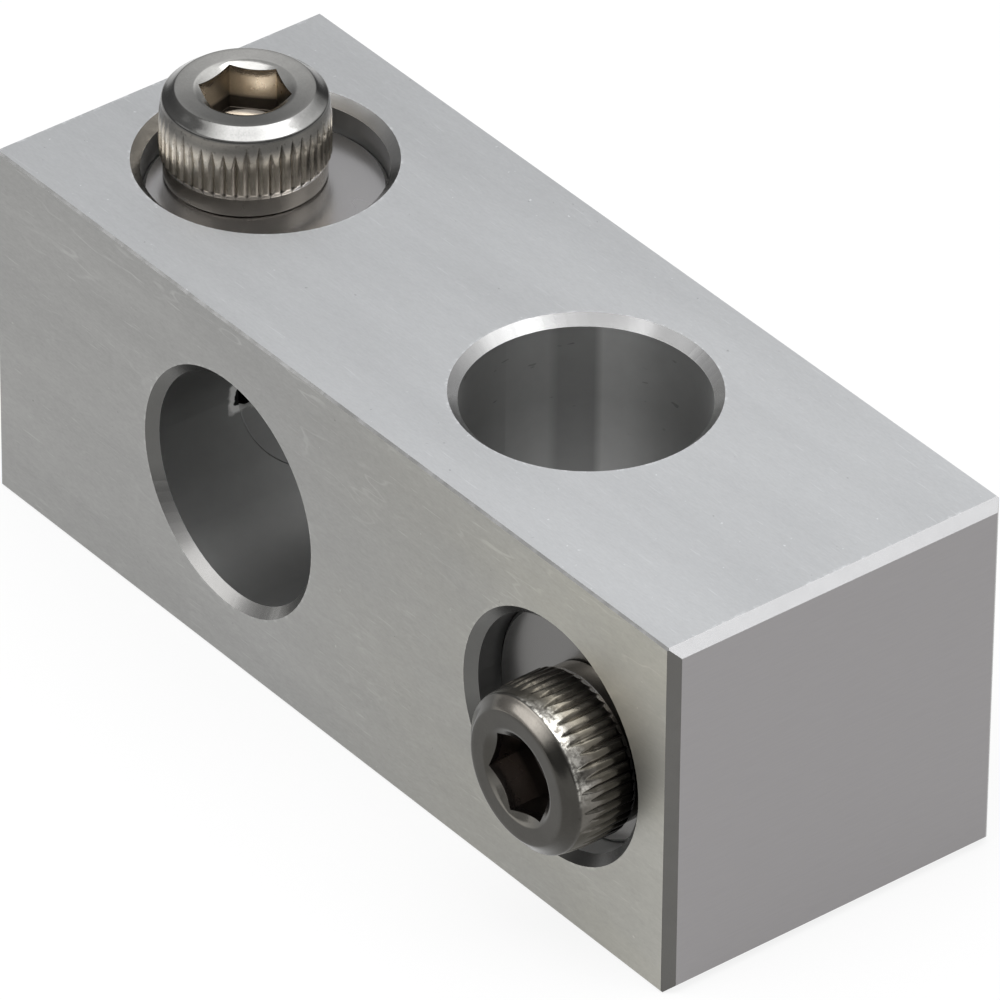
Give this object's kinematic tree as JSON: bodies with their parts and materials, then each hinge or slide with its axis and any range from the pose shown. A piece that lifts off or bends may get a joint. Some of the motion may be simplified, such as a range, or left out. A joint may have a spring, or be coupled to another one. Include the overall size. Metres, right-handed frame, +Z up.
{
  "type": "sensor bracket",
  "caption": "Square aluminium bar that holds round rods at right angles to each other, gripping each between round jaws drawn together by a knurled socket cap screw.",
  "frame": {"origin": "centre of the bar's bottom face", "axes": "+X along the bar, from the end with the top screw to the end with the front screw; +Z up, along the vertical rod bore; -Y to the front, along the horizontal rod bore"},
  "size_m": [0.053, 0.0233, 0.0233],
  "materials": {
    "brushed_aluminium": "bright drawn bar with fine grain along its length",
    "turned_aluminium": "smooth turned face",
    "screw_steel": "plain stainless steel, slightly worn on its edges"
  },
  "bodies": {
    "block": {"clamp_block": "brushed_aluminium"},
    "top_head_jaw": {"top_head_jaw": "turned_aluminium"},
    "top_screw": {"top_clamp_screw": "screw_steel"},
    "bottom_jaw": {"bottom_threaded_jaw": "turned_aluminium"},
    "front_head_jaw": {"front_head_jaw": "turned_aluminium"},
    "front_screw": {"front_clamp_screw": "screw_steel"},
    "back_jaw": {"back_threaded_jaw": "turned_aluminium"}
  },
  "joints": [
    {"name": "top_screw_turn", "type": "hinge", "parent": "top_head_jaw", "child": "top_screw", "pos_m": [-0.0191, 0, 0.01], "axis": [0, 0, -1], "range_deg": [-360, 504]},
    {"name": "top_head_jaw_slide", "type": "slide", "parent": "block", "child": "top_head_jaw", "axis": [0, 0, -1], "range_m": [-0.0004, 0.00056]},
    {"name": "bottom_jaw_slide", "type": "slide", "parent": "block", "child": "bottom_jaw", "axis": [0, 0, 1], "range_m": [-0.0004, 0.00056]},
    {"name": "front_screw_turn", "type": "hinge", "parent": "front_head_jaw", "child": "front_screw", "pos_m": [0.0191, 0, 0.01], "axis": [0, 1, 0], "range_deg": [-360, 504]},
    {"name": "front_head_jaw_slide", "type": "slide", "parent": "block", "child": "front_head_jaw", "axis": [0, 1, 0], "range_m": [-0.0004, 0.00056]},
    {"name": "back_jaw_slide", "type": "slide", "parent": "block", "child": "back_jaw", "axis": [0, -1, 0], "range_m": [-0.0004, 0.00056]}
  ],
  "couplings": [
    {"joint": "top_screw_turn", "follows": "bottom_jaw_slide", "rad_per_m": 15708},
    {"joint": "top_head_jaw_slide", "follows": "bottom_jaw_slide", "ratio": 1},
    {"joint": "front_screw_turn", "follows": "back_jaw_slide", "rad_per_m": 15708},
    {"joint": "front_head_jaw_slide", "follows": "back_jaw_slide", "ratio": 1}
  ]
}
